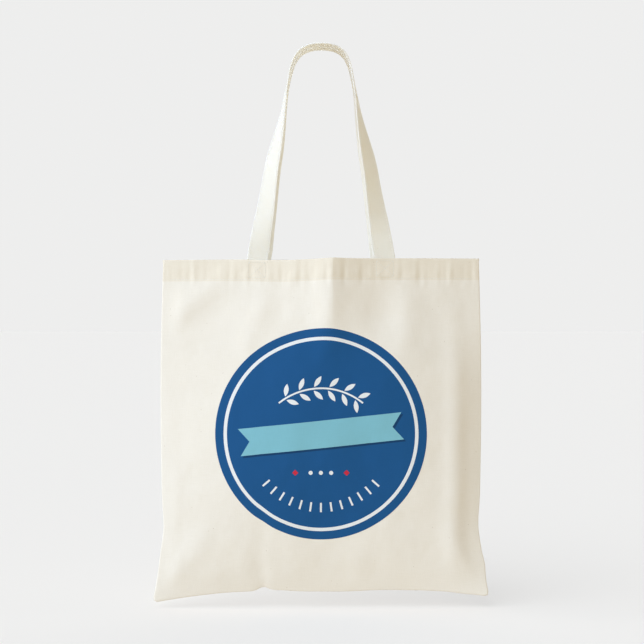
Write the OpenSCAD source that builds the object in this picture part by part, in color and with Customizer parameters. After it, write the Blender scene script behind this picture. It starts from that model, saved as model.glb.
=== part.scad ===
// Flat cotton tote bag with two strap handles and a round badge print on its front.
// Millimetres. +Z up, the front faces -Y. The origin is the hanging point: the underside of
// the two handle loops at their top, midway between them.

/* [Bag] */
// Width of the bag at its flared bottom corners
bag_w = 396; // [380:1:430]
// Height of a panel at the middle, hem edge to bottom seam
bag_h = 391; // [360:1:430]
// Width across the mouth as the bag hangs
mouth_w = 369; // [350:1:369]
// How far each side bows out between the mouth and the bottom
side_bow = 3; // [0:0.5:6]
// How far each panel stands out at the mouth
mouth_depth = 16; // [15:0.5:20]
// How full each panel's belly is
belly_depth = 27; // [24:0.5:30]
// How far the bottom corners hang below the middle
corner_droop = 9; // [4:0.5:14]
// Thickness of the cotton
cloth_t = 0.5; // [0.4:0.05:0.6]
// Height of the folded hem
hem_h = 25; // [22:0.5:30]

/* [Handles] */
// Width of each strap
strap_w = 25; // [22:0.5:26]
// Thickness of a strap, four layers folded together
strap_t = 1.6; // [1.2:0.1:1.8]
// From the hem edge up to the underside of the loops
handle_rise = 251; // [230:1:320]
// Half the distance between the front straps, centre to centre
front_spread = 75; // [68:0.5:85]
// Half the distance between the back straps, centre to centre
back_spread = 72; // [68:0.5:85]

/* [Print] */
// Diameter of the round print
badge_d = 248; // [220:1:256]
// Centre of the print below the hem edge
badge_drop = 205; // [195:1:215]
// Tilt of the printed ribbon, in degrees
ribbon_tilt = 6; // [0:0.5:9]

/* [Hidden] */
$fn = 48;
canvas = [0.93, 0.90, 0.82];
thread = [0.96, 0.94, 0.88];
ink_blue = [0.11, 0.34, 0.60];
ink_navy = [0.05, 0.22, 0.40];
ink_aqua = [0.53, 0.79, 0.84];
ink_red = [0.80, 0.15, 0.20];
ink_white = [0.95, 0.94, 0.90];

hem_z = -handle_rise;
fit = 0.15;              // air between sewn layers

// the seams, between the two panels
half_gap = 0.85;         // from the middle plane to a panel's inner face at a seam
seam_half_t = 0.5;       // half the thickness of the two allowances pressed together
overlock_half_t = 0.55;
seam_inset = 0.5;        // the allowance starts this far inside the edge
allowance = 8;
overlock_w = 1.6;
overlock_gap = 0.2;

// layers at the mouth, measured outwards from a panel's outer face
hem_t = 2 * cloth_t;     // the turned-in hem is two layers
hem_off = -(cloth_t + fit);
end_off = hem_off - hem_t - fit;

// handles
fold_lift = 2;           // a loop starts this far above the hem edge
fold_gap = 0.3;          // from the sewn end up to the loop
end_h = 22;              // sewn length of each handle end below the hem edge
top_y = 13.5;            // a loop's centre at its top, from the middle plane
lean_x = 0.45;           // the loop's curve: control points as parts of its spread and rise
lean_z = 0.24;
shoulder_x = 0.77;
twisted_by = 0.85;       // the quarter turn is done at this part of the rise
square_up = 25;          // over this height above the hem a strap's cross-section stops being level

// stitches
stitch_len = 4;
stitch_pitch = 6;
stitch_w = 0.6;
stitch_t = 0.3;
hem_stitch_rise = 2;     // above the lower edge of the hem
edge_row_inset = 2.5;    // the rows along a strap's two edges
edge_row_w = 0.7;
row_low = strap_w / 2 - edge_row_inset - edge_row_w / 2;   // a row's edges, from the strap's middle
row_high = row_low + edge_row_w;
loop_steps = 56;
box_inset = 3.5;

// print, all on the front panel
film_t = 0.2;
base_film = 0.15;        // from the cloth to the disc
mid_film = 0.5;
top_film = 0.85;
badge_z = hem_z - badge_drop;
badge_r = badge_d / 2;
ring_outer = 0.92 * badge_r;
ring_inner = 0.888 * badge_r;

// how finely the cloth is divided
panel_rows = 14;
edge_u = 0.955;
inner_columns = concat([-edge_u], [for (j = [-7:7]) j / 8], [edge_u]);
columns = concat([-1], inner_columns, [1]);

// ---- shape of the cloth ----
// v runs from 0 at the bottom seam to 1 at the hem edge, u from -1 at the left seam to 1 at the right.

function smooth(t) = let (c = min(max(t, 0), 1)) c * c * (3 - 2 * c);
function bow(v) = side_bow * sin(180 * min(max((v - 0.2) / 0.8, 0), 1));
function half_width(v) = mouth_w / 2 + bow(v) + (bag_w - mouth_w) / 2 * pow(1 - v, 9);
function fullness(v) = belly_depth * (1 - pow(1 - v, 4)) - (belly_depth - mouth_depth) * smooth(v);
function depth(u, v) = half_gap + cloth_t + fullness(v) * (1 - pow(abs(u), 3));
function cloth_z(u, v) = hem_z - bag_h * (1 - v) - corner_droop * pow(abs(u), 5) * pow(1 - v, 8);

// A point of the front panel. off is outwards from the cloth's outer face.
function on_panel(u, v, off) = [u * half_width(v), -(depth(u, v) + off), cloth_z(u, v)];

// The same, from x and z. Above the hem edge the cloth's line carries straight on up.
function on_front(x, z, off) =
    let (v = min(1 - (hem_z - z) / bag_h, 1), u = x / half_width(v))
    [x, -(depth(u, v) + off), z];

// ---- solids from grids of points ----

function flatten(rows) = [for (r = rows) for (p = r) p];
function two_triangles(a, b, c, d) = [[a, b, c], [a, c, d]];

// The closed solid between two grids. Rows run up and columns run right, seen from the front grid.
module sheet(front, back) {
    rows = len(front);
    cols = len(front[0]);
    last_i = rows - 1;
    last_j = cols - 1;
    function f(i, j) = i * cols + j;
    function b(i, j) = rows * cols + i * cols + j;
    skins = [for (i = [0:last_i - 1], j = [0:last_j - 1]) each concat(
        two_triangles(f(i, j), f(i + 1, j), f(i + 1, j + 1), f(i, j + 1)),
        two_triangles(b(i, j), b(i, j + 1), b(i + 1, j + 1), b(i + 1, j)))];
    ends = [for (j = [0:last_j - 1]) each concat(
        two_triangles(f(0, j), f(0, j + 1), b(0, j + 1), b(0, j)),
        two_triangles(f(last_i, j + 1), f(last_i, j), b(last_i, j), b(last_i, j + 1)))];
    sides = [for (i = [0:last_i - 1]) each concat(
        two_triangles(f(i + 1, 0), f(i, 0), b(i, 0), b(i + 1, 0)),
        two_triangles(f(i, last_j), f(i + 1, last_j), b(i + 1, last_j), b(i, last_j)))];
    polyhedron(points = concat(flatten(front), flatten(back)), faces = concat(skins, ends, sides));
}

module to_back() mirror([0, 1, 0]) children();
module to_left() mirror([1, 0, 0]) children();

// ---- cloth ----

module panel() {
    vs = [for (i = [0:panel_rows]) pow(i / panel_rows, 1.3)];
    sheet([for (v = vs) [for (u = columns) on_panel(u, v, 0)]],
          [for (v = vs) [for (u = columns) on_panel(u, v, -cloth_t)]]);
}

module hem() {
    vs = [for (part = [1, 0.5, 0]) 1 - part * hem_h / bag_h];
    sheet([for (v = vs) [for (u = inner_columns) on_panel(u, v, hem_off)]],
          [for (v = vs) [for (u = inner_columns) on_panel(u, v, hem_off - hem_t)]]);
}

// An upright strip between the panels, along the right side edge. The insets are from that edge.
module side_strip(inset_outer, inset_inner, half_t) {
    vs = [for (i = [0:14]) 0.04 + 0.955 * pow(i / 14, 1.4)];
    function row(v, y) = [for (inset = [inset_inner, inset_outer]) [half_width(v) - inset, y, cloth_z(1, v)]];
    sheet([for (v = vs) row(v, -half_t)], [for (v = vs) row(v, half_t)]);
}

// The same along the bottom edge, between two heights above it.
module bottom_strip(low, high, half_t) {
    us = [for (j = [0:20]) -0.95 + 0.095 * j];
    function row(rise, y) = [for (u = us) [u * half_width(0), y, cloth_z(u, 0) + rise]];
    sheet([row(low, -half_t), row(high, -half_t)], [row(low, half_t), row(high, half_t)]);
}

module side_allowance() side_strip(seam_inset, allowance, seam_half_t);
module side_thread()
    side_strip(allowance + overlock_gap, allowance + overlock_gap + overlock_w, overlock_half_t);

// ---- handles ----

function bezier(p, t) = pow(1 - t, 3) * p[0] + 3 * pow(1 - t, 2) * t * p[1]
    + 3 * (1 - t) * t * t * p[2] + t * t * t * p[3];
function bezier_slope(p, t) = pow(1 - t, 2) * (p[1] - p[0])
    + 2 * (1 - t) * t * (p[2] - p[1]) + t * t * (p[3] - p[2]);

// The left half of a loop in the XZ plane, from the hem to the top.
function loop_curve(spread) = [
    [-spread, hem_z + fold_lift],
    [-lean_x * spread, lean_z * hem_z],
    [-shoulder_x * spread, strap_t / 2],
    [0, strap_t / 2]];

// Where a strap's centre stands at the hem, from the middle plane.
function strap_y(spread) = depth(spread / half_width(1), 1) + end_off - strap_t / 2;

// [centre, across, outwards] of the strap at s, from 0 at the left of the loop to 1 at its right.
// It lies flat against the bag at the hem and makes a quarter turn to lie flat on a hand.
function strap_frame(spread, s) =
    let (
        p = loop_curve(spread),
        side = s <= 0.5 ? 1 : -1,
        t = s <= 0.5 ? 2 * s : 2 * (1 - s),
        c = bezier(p, t),
        slope = bezier_slope(p, t),
        d = slope / norm(slope),
        lean = d[0] * smooth((c[1] - hem_z - fold_lift) / square_up),
        inward = [side * d[1], 0, -lean] / norm([d[1], lean]),
        front = [0, -1, 0],
        climb = smooth((c[1] - hem_z) / (handle_rise * twisted_by)),
        y = strap_y(spread) + (top_y - strap_y(spread)) * climb
    )
    [[side * c[0], -y, c[1]],
     inward * cos(90 * climb) + front * sin(90 * climb),
     front * cos(90 * climb) - inward * sin(90 * climb)];

// A ribbon along a loop, between edge offsets and two face offsets. It stops short by skip steps.
module loop_ribbon(spread, edges, faces, skip = 0) {
    frames = [for (i = [skip:loop_steps - skip]) strap_frame(spread, i / loop_steps)];
    function grid(off) = [for (f = frames) [for (e = edges) f[0] + e * f[1] + off * f[2]]];
    sheet(grid(faces[1]), grid(faces[0]));
}

// Its facets break along the stitch rows, so that the rows keep clear of them.
module loop(spread)
    loop_ribbon(spread, concat(-strap_w / 2, -row_high, -row_low, 0, row_low, row_high, strap_w / 2),
                [-strap_t / 2, strap_t / 2]);

module edge_rows(spread)
    for (edges = [[-row_high, -row_low], [row_low, row_high]])
        loop_ribbon(spread, edges, [strap_t / 2 + fit, strap_t / 2 + fit + stitch_t], 1);

// The sewn end of a strap, inside the hem on the right.
module handle_end(spread) {
    top = fold_lift - fold_gap;
    xs = [for (k = [-2:2]) spread + k * strap_w / 4];
    zs = [-end_h, 0, top];
    function at(x, z, off) = on_front(x, hem_z + min(z, 0), off) + [0, 0, max(z, 0)];
    sheet([for (z = zs) [for (x = xs) at(x, z, end_off)]],
          [for (z = zs) [for (x = xs) at(x, z, end_off - strap_t)]]);
}

// ---- stitching ----

// A row of stitches on the front of the bag between two [x, z] points.
module stitch_row(from, to) {
    span = to - from;
    count = max(floor(norm(span) / stitch_pitch), 1);
    for (k = [0:count - 1]) {
        at = from + span * (k + 0.5) / count;
        here = on_front(at[0], at[1], stitch_t);
        ahead = on_front(at[0] + 1, at[1], stitch_t);
        translate(here)
            rotate([0, 0, atan(ahead[1] - here[1])])
                rotate([0, -atan2(span[1], span[0]), 0])
                    cube([stitch_len, stitch_t, stitch_w], center = true);
    }
}

module hem_row() {
    reach = mouth_w / 2 - 8;
    z = hem_z - hem_h + hem_stitch_rise;
    stitch_row([-reach, z], [reach, z]);
}

// A square with a diagonal cross over the handle end on the right.
module box_cross(spread) {
    half = strap_w / 2 - box_inset;
    top = hem_z - box_inset;
    low = hem_z - end_h + box_inset;
    corners = [[spread - half, low], [spread + half, low], [spread + half, top], [spread - half, top]];
    for (k = [0:3])
        stitch_row(corners[k], corners[(k + 1) % 4]);
    middle = (corners[0] + corners[2]) / 2;
    for (corner = corners)
        stitch_row(corner * 0.78 + middle * 0.22, corner * 0.22 + middle * 0.78);
}

// ---- print ----

function on_badge(r, angle, off) = on_front(r * cos(angle), badge_z + r * sin(angle), off);

// A film between the first and last of some radii, or a whole disc when the first is 0.
module round_film(radii, off) {
    n = 48;
    full = radii[0] == 0;
    rings = [for (r = radii) if (r > 0) r];
    last = len(rings) - 1;
    m = len(rings) * n;
    function circle_at(r, o) = [for (k = [0:n - 1]) on_badge(r, 360 * k / n, o)];
    outer = [for (r = rings) each circle_at(r, off + film_t)];
    inner = [for (r = rings) each circle_at(r, off)];
    function f(i, k) = i * n + k % n;
    function b(i, k) = m + i * n + k % n;
    bands = [for (i = [0:1:last - 1], k = [0:n - 1]) each concat(
        two_triangles(f(i, k), f(i, k + 1), f(i + 1, k + 1), f(i + 1, k)),
        two_triangles(b(i, k), b(i + 1, k), b(i + 1, k + 1), b(i, k + 1)))];
    rim = [for (k = [0:n - 1]) each two_triangles(f(last, k), f(last, k + 1), b(last, k + 1), b(last, k))];
    hole = [for (k = [0:n - 1]) each two_triangles(f(0, k), b(0, k), b(0, k + 1), f(0, k + 1))];
    centre = [for (k = [0:n - 1]) each [[2 * m, f(0, k + 1), f(0, k)], [2 * m + 1, b(0, k), b(0, k + 1)]]];
    polyhedron(
        points = concat(outer, inner, full ? [on_badge(0, 0, off + film_t), on_badge(0, 0, off)] : []),
        faces = concat(bands, rim, full ? centre : hole));
}

// A flat shape laid on the badge at [x, z] from its centre and turned by angle.
module laid(at, angle) {
    here = on_front(at[0], badge_z + at[1], mid_film);
    ahead = on_front(at[0] + 1, badge_z + at[1], mid_film);
    above = on_front(at[0], badge_z + at[1] + 1, mid_film);
    translate(here)
        rotate([0, 0, atan(ahead[1] - here[1])])
            rotate([90 - atan(above[1] - here[1]), 0, 0])
                rotate([0, 0, angle])
                    linear_extrude(film_t) children();
}

// Two arcs that meet in points.
module leaf(length, width) {
    r = (length * length / 4 + width * width / 4) / width;
    intersection() {
        translate([0, r - width / 2]) circle(r);
        translate([0, width / 2 - r]) circle(r);
    }
}

// An arched stem with a leaf on each side of it at every joint.
sprig_r = 78;
sprig_drop = 24;
stem_step = 4;
leaf_step = 12.8;
leaf_out = 8;
module stem_and_leaves() {
    function on_arc(r, a) = [r * sin(a), r * cos(a) - sprig_drop];
    for (a = [-38:stem_step:38])
        laid(on_arc(sprig_r, a), -a) square([sprig_r * stem_step * PI / 180 - 0.6, 2], center = true);
    for (a = [-32:leaf_step:32], side = [-1, 1])
        laid(on_arc(sprig_r + side * leaf_out, a + 4), side * 50 - a) leaf(15, 5.5);
}

// A tilted band with swallow-tail ends.
ribbon_half = 96;
ribbon_h = 32;
tail = 12;
module swallow_tail(shift, off) {
    xs = [for (k = [-8:8]) k * ribbon_half / 8];
    sides = [-1, -0.5, 0, 0.5, 1];
    function notch(x, side) = abs(x) >= ribbon_half ? tail * (1 - abs(side)) : 0;
    function at(x, side, o) =
        let (px = x - sign(x) * notch(x, side), pz = side * ribbon_h / 2)
        on_front(px * cos(ribbon_tilt) - pz * sin(ribbon_tilt) + shift[0],
                 badge_z + px * sin(ribbon_tilt) + pz * cos(ribbon_tilt) + shift[1], o);
    sheet([for (s = sides) [for (x = xs) at(x, s, off + film_t)]],
          [for (s = sides) [for (x = xs) at(x, s, off)]]);
}

// ---- sub-parts ----

module front_panel() color(canvas) panel();
module back_panel() color(canvas) to_back() panel();
module front_hem() color(canvas) hem();
module back_hem() color(canvas) to_back() hem();
module right_side_seam() color(canvas) side_allowance();
module left_side_seam() color(canvas) to_left() side_allowance();
module bottom_seam() color(canvas) bottom_strip(seam_inset, allowance, seam_half_t);
module right_overlock_thread() color(thread) side_thread();
module left_overlock_thread() color(thread) to_left() side_thread();
module bottom_overlock_thread() color(thread)
    bottom_strip(allowance + overlock_gap, allowance + overlock_gap + overlock_w, overlock_half_t);
module front_hem_stitching() color(thread) hem_row();
module back_hem_stitching() color(thread) to_back() hem_row();
module front_handle() color(canvas) loop(front_spread);
module back_handle() color(canvas) to_back() loop(back_spread);
module front_handle_stitching() color(thread) edge_rows(front_spread);
module back_handle_stitching() color(thread) to_back() edge_rows(back_spread);
module front_handle_end_right() color(canvas) handle_end(front_spread);
module front_handle_end_left() color(canvas) to_left() handle_end(front_spread);
module back_handle_end_right() color(canvas) to_back() handle_end(back_spread);
module back_handle_end_left() color(canvas) to_back() to_left() handle_end(back_spread);
module front_box_stitching_right() color(thread) box_cross(front_spread);
module front_box_stitching_left() color(thread) to_left() box_cross(front_spread);
module back_box_stitching_right() color(thread) to_back() box_cross(back_spread);
module back_box_stitching_left() color(thread) to_back() to_left() box_cross(back_spread);
module print_disc() color(ink_blue) round_film([for (k = [0:8]) badge_r * k / 8], base_film);
module print_ring() color(ink_white) round_film([ring_inner, ring_outer], mid_film);
module print_sprig() color(ink_white) stem_and_leaves();
module print_ribbon_shadow() color(ink_navy) swallow_tail([2.2, -2.2], mid_film);
module print_ribbon() color(ink_aqua) swallow_tail([0, 0], top_film);
module print_diamonds() color(ink_red) for (side = [-1, 1])
    laid([side * 30, -45], 45) square(5, center = true);
module print_dots() color(ink_white) for (x = [-12, 0, 12]) laid([x, -45], 0) circle(2.4);
module print_ticks() color(ink_white) for (a = [222:8:318])
    laid([86 * cos(a), 86 * sin(a)], a) square([11, 2.2], center = true);

front_panel();
back_panel();
front_hem();
back_hem();
left_side_seam();
right_side_seam();
bottom_seam();
left_overlock_thread();
right_overlock_thread();
bottom_overlock_thread();
front_hem_stitching();
back_hem_stitching();
front_handle();
back_handle();
front_handle_stitching();
back_handle_stitching();
front_handle_end_left();
front_handle_end_right();
back_handle_end_left();
back_handle_end_right();
front_box_stitching_left();
front_box_stitching_right();
back_box_stitching_left();
back_box_stitching_right();
print_disc();
print_ring();
print_sprig();
print_ribbon();
print_ribbon_shadow();
print_diamonds();
print_dots();
print_ticks();
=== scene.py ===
"""A natural cotton tote bag with two strap handles and a round badge print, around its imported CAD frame.

Shapes are worked out in millimetres and written to Blender in metres. Each side of the bag is one
sheet of cloth given by cloth(), and its hem, stitches, handle ends and ink are all laid on that sheet.
"""

import math

import bpy
import numpy as np
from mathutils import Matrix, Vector


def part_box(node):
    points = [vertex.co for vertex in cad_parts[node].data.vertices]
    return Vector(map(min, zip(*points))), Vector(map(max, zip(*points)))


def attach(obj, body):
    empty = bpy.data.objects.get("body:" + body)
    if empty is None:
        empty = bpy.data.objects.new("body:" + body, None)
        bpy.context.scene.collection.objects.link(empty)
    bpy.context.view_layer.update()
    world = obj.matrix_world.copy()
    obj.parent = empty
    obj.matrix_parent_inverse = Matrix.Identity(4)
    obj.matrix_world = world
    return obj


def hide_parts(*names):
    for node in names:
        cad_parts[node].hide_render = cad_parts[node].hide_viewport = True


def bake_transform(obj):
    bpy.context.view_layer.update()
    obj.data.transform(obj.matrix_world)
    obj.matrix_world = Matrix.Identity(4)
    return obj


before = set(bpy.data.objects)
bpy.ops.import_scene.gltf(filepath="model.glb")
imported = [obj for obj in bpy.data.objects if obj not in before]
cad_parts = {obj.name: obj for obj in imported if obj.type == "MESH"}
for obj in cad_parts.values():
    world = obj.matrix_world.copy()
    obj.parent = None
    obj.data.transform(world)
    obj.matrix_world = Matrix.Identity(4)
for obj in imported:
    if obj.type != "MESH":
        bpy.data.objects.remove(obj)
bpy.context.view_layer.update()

# ---- sizes in millimetres, taken from the frame where it has them ----


def box_mm(node):
    low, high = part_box(node)
    return np.array(low) * 1000, np.array(high) * 1000


panel_low, panel_high = box_mm("front_panel")
hem_low, hem_high = box_mm("front_hem")
disc_low, disc_high = box_mm("print_disc")
ring_low, ring_high = box_mm("print_ring")
end_low, end_high = box_mm("front_handle_end_right")
back_end_low, back_end_high = box_mm("back_handle_end_right")

HEM_Z = panel_high[2]
HEM_H = hem_high[2] - hem_low[2]
CORNER_DROOP = 9
BAG_H = HEM_Z - panel_low[2] - CORNER_DROOP
CORNER_HALF = panel_high[0]
MOUTH_HALF = hem_high[0] / 0.955
CORNER_R = 7
SIDE_BOW = 3
MOUTH_DEPTH = 16
BELLY_DEPTH = 27
CLOTH_T = 0.5
EDGE_Y = 1.35  # outer face of the cloth at a seam, from the middle plane
HEM_T = 1.0
LAYER_GAP = 0.15

STRAP_W = end_high[0] - end_low[0]
STRAP_T = 1.6
FRONT_SPREAD = (end_high[0] + end_low[0]) / 2
BACK_SPREAD = (back_end_high[0] + back_end_low[0]) / 2
END_H = 22

BADGE_Z = (disc_low[2] + disc_high[2]) / 2
BADGE_R = (disc_high[0] - disc_low[0]) / 2
RING_OUTER = (ring_high[0] - ring_low[0]) / 2
RING_INNER = RING_OUTER * 0.888 / 0.92

CREASE_U = 0.075  # the ridge left by folding the bag in half for packing
SEAM_REACH = 8  # how far the seam allowances reach in from the bag's edges

# ---- the cloth ----


def smooth(t):
    c = np.clip(t, 0, 1)
    return c * c * (3 - 2 * c)


def bump(t, centre, width):
    return np.exp(-(((t - centre) / width) ** 2))


def noise(x, z, cell, seed):
    """Smooth noise from -1 to 1 on a lattice of that cell size."""
    values = np.random.default_rng(seed).uniform(-1, 1, (64, 64))
    a, b = x / cell + 31.7, z / cell + 17.3
    i, j = np.floor(a).astype(int), np.floor(b).astype(int)
    p, q = a - i, b - j
    p, q = p**3 * (p * (6 * p - 15) + 10), q**3 * (q * (6 * q - 15) + 10)

    def across(n):
        return values[i % 64, (j + n) % 64] * (1 - p) + values[(i + 1) % 64, (j + n) % 64] * p

    return across(0) * (1 - q) + across(1) * q


def half_width(v):
    bow = SIDE_BOW * np.sin(np.pi * np.clip((v - 0.2) / 0.8, 0, 1))
    return MOUTH_HALF + bow + (CORNER_HALF - MOUTH_HALF) * (1 - v) ** 9


def fullness(v):
    return BELLY_DEPTH * (1 - (1 - v) ** 4) - (BELLY_DEPTH - MOUTH_DEPTH) * smooth(v)


def fold(x, z, start, end, height, width):
    """A soft ridge along the line from start to end, fading out at both."""
    (x0, z0), (x1, z1) = start, end
    length = math.hypot(x1 - x0, z1 - z0)
    dx, dz = (x1 - x0) / length, (z1 - z0) / length
    along = ((x - x0) * dx + (z - z0) * dz) / length
    across = (x - x0) * dz - (z - z0) * dx
    return height * np.exp(-((across / width) ** 2)) * smooth(along / 0.3) * smooth((1 - along) / 0.35)


# (start, end, height, width) of the folds, from the middle of the hem edge
FRONT_FOLDS = [
    ((-100, -10), (-200, -90), 2.2, 15),
    ((-60, -24), (-96, -130), 0.7, 12),
    ((8, 40), (10, -130), 2.4, 19),
    ((104, -20), (98, -150), 1.3, 15),
    ((62, 30), (72, -110), -2.2, 21),
    ((150, -16), (160, -170), 0.6, 12),
    ((-172, -230), (-184, -380), 1.1, 10),
    ((-192, -388), (-120, -306), 1.5, 17),
    ((-68, -400), (-80, -330), -1.0, 9),
    ((194, -386), (138, -310), 1.1, 14),
    ((160, -70), (157, -440), 3.0, 14),
    ((20, -330), (110, -392), 0.9, 18),
    ((40, -60), (62, -360), -0.8, 22),
]
BACK_FOLDS = [
    ((100, -22), (188, -120), 1.6, 14),
    ((62, -26), (84, -130), -1.2, 11),
    ((-66, -24), (-42, -160), 1.3, 12),
    ((-150, -14), (-168, -190), 1.2, 13),
    ((192, -388), (115, -300), 1.6, 15),
    ((-193, -387), (-128, -300), 1.6, 15),
    ((-20, -60), (18, -330), 1.3, 17),
    ((70, -200), (96, -380), -1.1, 14),
]


def rest_shape(u, v, back):
    """The sheet before it is wrinkled: x, depth from the middle plane, and z."""
    u, v = np.broadcast_arrays(u, v)
    x = u * half_width(v)
    low = smooth((1 - v) * 1.15)
    crease = (1 - 0.75 * low) * (-0.5 if back else 1) * CREASE_U
    away = np.where(u > crease, (u - crease) / (1 - crease), (crease - u) / (1 + crease))
    away = np.sqrt(away**2 + 1e-4)
    soft = 0.008 + 0.16 * low
    away = (np.sqrt(away**2 + soft**2) - soft) / (np.sqrt(1 + soft**2) - soft)
    # the right side rolls over more, lower down
    rolled = 1.3 * smooth(u / 0.3) * smooth((0.86 - v) / 0.3)
    depth = EDGE_Y + (fullness(v) + 14.5 * (1 - low)) * (1 - away ** (0.88 + 1.4 * low + rolled))
    z = HEM_Z - BAG_H * (1 - v) - CORNER_DROOP * np.abs(u) ** 5 * (1 - v) ** 8
    return x, depth, z


def wrinkles(u, v, x, z, back):
    """How far the cloth stands out from its rest shape. Nothing at the seams."""
    below = z - HEM_Z
    free = smooth((1 - np.abs(u)) / 0.14) * smooth(v / 0.07)
    out = 0
    for start, end, height, width in BACK_FOLDS if back else FRONT_FOLDS:
        out = out + fold(x, below, start, end, height, width)
    seed = 40 if back else 10
    out = out + 0.9 * noise(x, z * 0.6, 46, seed) + 0.35 * noise(x, z * 0.8, 19, seed + 1)
    out = out + 0.10 * noise(x, z, 7, seed + 2)
    return out * free + hem_pucker(x, below, seed) * smooth((1 - np.abs(u)) / 0.03)


def hem_pucker(x, below, seed):
    """Short upright ripples where the hem's stitching gathers the cloth."""
    sewn = bump(below, -HEM_H + 3, 9) + 0.45 * smooth((below + HEM_H) / 8)
    ripple = noise(x, below * 0.14, 5.2, seed + 3)
    ripple = ripple + 0.7 * noise(x + 0.12 * below, below * 0.1, 11, seed + 4)
    groove = bump(below, -HEM_H + 2, 1.1)
    return 0.52 * sewn * ripple - 0.22 * groove


def edge_shift(v, x):
    """How far the bottom edge hangs up or down from the rest shape, the same on both sides of the bag."""
    low = (1 - v) ** 6
    notch = 4.4 * bump(x, -68, 8) + 1.6 * bump(x, -52, 22)
    sag = -4.4 * smooth((-84 - x) / 98)
    rise = 2.0 * smooth((x - 20) / 60) * smooth((178 - x) / 30)
    corners = 2.6 * smooth((x - 150) / 45)
    return low * (notch + sag + rise + corners)


def rounded_corner(u, v, x, z):
    """Rounds the two lower corners off, since cloth doesn't turn out to a point there."""
    half, across = half_width(v), np.abs(u)
    a = np.clip(1 - (1 - across) * half / CORNER_R, 0, 1)
    b = np.clip(1 - v * BAG_H / CORNER_R, 0, 1)
    shift_x = CORNER_R * (a * np.sqrt(1 - b**2 / 2) - a)
    shift_z = -CORNER_R * (b * np.sqrt(1 - a**2 / 2) - b)
    return x + np.sign(u) * shift_x, z + shift_z


def hem_line(x, back):
    """How far the hem edge rises above level. The two sides of the bag meet at their ends."""
    tilt = 1.6 * smooth((x + 185) / 330) - 1.0
    if back:
        return tilt + 0.9 * noise(x, x * 0, 60, 71) * smooth((185 - np.abs(x)) / 30)
    return tilt - 1.5 * bump(x, -45, 34) + 0.8 * bump(x, 14, 14)


def side_shift(u, v):
    """The sides' own unevenness: the right lower corner flares and both sides draw in above the corners."""
    flare = 1.8 * smooth(u) * bump(v, 0.085, 0.03)
    waist = -2.2 * bump(v, 0.2, 0.06)
    return np.sign(u) * np.abs(u) ** 3 * (waist + flare)


def cloth(u, v, back=False):
    """Points on the outer face of one side of the bag, in millimetres. u is -1 to 1, v is 0 to 1."""
    u, v = (np.array(a, float) for a in np.broadcast_arrays(u, v))
    x, depth, z = rest_shape(u, v, back)
    depth = depth + wrinkles(u, v, x, z, back)
    z = z + edge_shift(v, x) + hem_line(x, back) * smooth((v - 0.5) / 0.5)
    x, z = rounded_corner(u, v, x + side_shift(u, v), z)
    return np.stack([x, depth if back else -depth, z], -1)


def cloth_frame(u, v, back=False):
    """Points, outward normals and the level direction along the cloth."""
    e = 0.0015
    point = cloth(u, v, back)
    du = cloth(np.asarray(u) + e, v, back) - cloth(np.asarray(u) - e, v, back)
    dv = cloth(u, np.asarray(v) + e, back) - cloth(u, np.asarray(v) - e, back)
    n = np.cross(du, dv) * (-1 if back else 1)
    return point, unit(n), unit(du)


def unit(a):
    return a / np.maximum(np.linalg.norm(a, axis=-1, keepdims=True), 1e-12)


def uv_of(x, z):
    """Where on the sheet a point of the front lies, from its place before the cloth wrinkled."""
    v = 1 - (HEM_Z - np.asarray(z, float)) / BAG_H
    return np.asarray(x, float) / half_width(v), v


def on_front(x, z, lift, back=False):
    u, v = uv_of(x, z)
    point, normal, _ = cloth_frame(u, v, back)
    return point + normal * lift


# ---- meshes ----


def make_object(name, points, faces, uvs=None, sharp=None):
    """A mesh from points in millimetres. uvs has one pair for each point, in millimetres of cloth."""
    mesh = bpy.data.meshes.new(name)
    mesh.from_pydata((np.asarray(points) / 1000).tolist(), [], [list(f) for f in faces])
    mesh.update()
    mesh.validate()
    mesh.polygons.foreach_set("use_smooth", [True] * len(mesh.polygons))
    if uvs is not None:
        layer = mesh.uv_layers.new(name="cloth")
        index = np.zeros(len(mesh.loops), int)
        mesh.loops.foreach_get("vertex_index", index)
        layer.data.foreach_set("uv", (np.asarray(uvs, float)[index] / 1000).ravel())
    if sharp:
        mesh.set_sharp_from_angle(angle=math.radians(sharp))
    obj = bpy.data.objects.new(name, mesh)
    bpy.context.scene.collection.objects.link(obj)
    return obj


def grid_faces(rows, cols, first=0, flip=False):
    i, j = np.meshgrid(np.arange(rows - 1), np.arange(cols - 1), indexing="ij")
    a = (first + i * cols + j).ravel()
    quad = np.stack([a, a + 1, a + cols + 1, a + cols], -1)
    return quad[:, ::-1] if flip else quad


def rim_faces(rows, cols, flip=False):
    """Quads that close the four edges between two grids of that size, one after the other."""
    other = rows * cols
    edge = np.concatenate([
        np.arange(cols),
        np.arange(1, rows) * cols + cols - 1,
        (rows - 1) * cols + np.arange(cols - 2, -1, -1),
        np.arange(rows - 2, 0, -1) * cols,
    ])
    ahead = np.roll(edge, -1)
    quad = np.stack([edge, edge + other, ahead + other, ahead], -1)
    return quad[:, ::-1] if flip else quad


def closed_sheet(name, front, behind, uv, flip=False):
    """The closed solid between two grids of points."""
    rows, cols = front.shape[:2]
    points = np.concatenate([front.reshape(-1, 3), behind.reshape(-1, 3)])
    faces = np.concatenate([
        grid_faces(rows, cols, 0, flip),
        grid_faces(rows, cols, rows * cols, not flip),
        rim_faces(rows, cols, flip),
    ])
    flat = uv.reshape(-1, 2)
    return make_object(name, points, faces, np.concatenate([flat, flat]), sharp=55)


def joined(name, parts, sharp=None):
    """One mesh from several (points, faces, uvs)."""
    points, faces, uvs, count = [], [], [], 0
    for p, f, t in parts:
        points.append(p)
        uvs.append(t)
        faces += [[count + k for k in face] for face in f]
        count += len(p)
    return make_object(name, np.concatenate(points), faces, np.concatenate(uvs), sharp)


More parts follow.
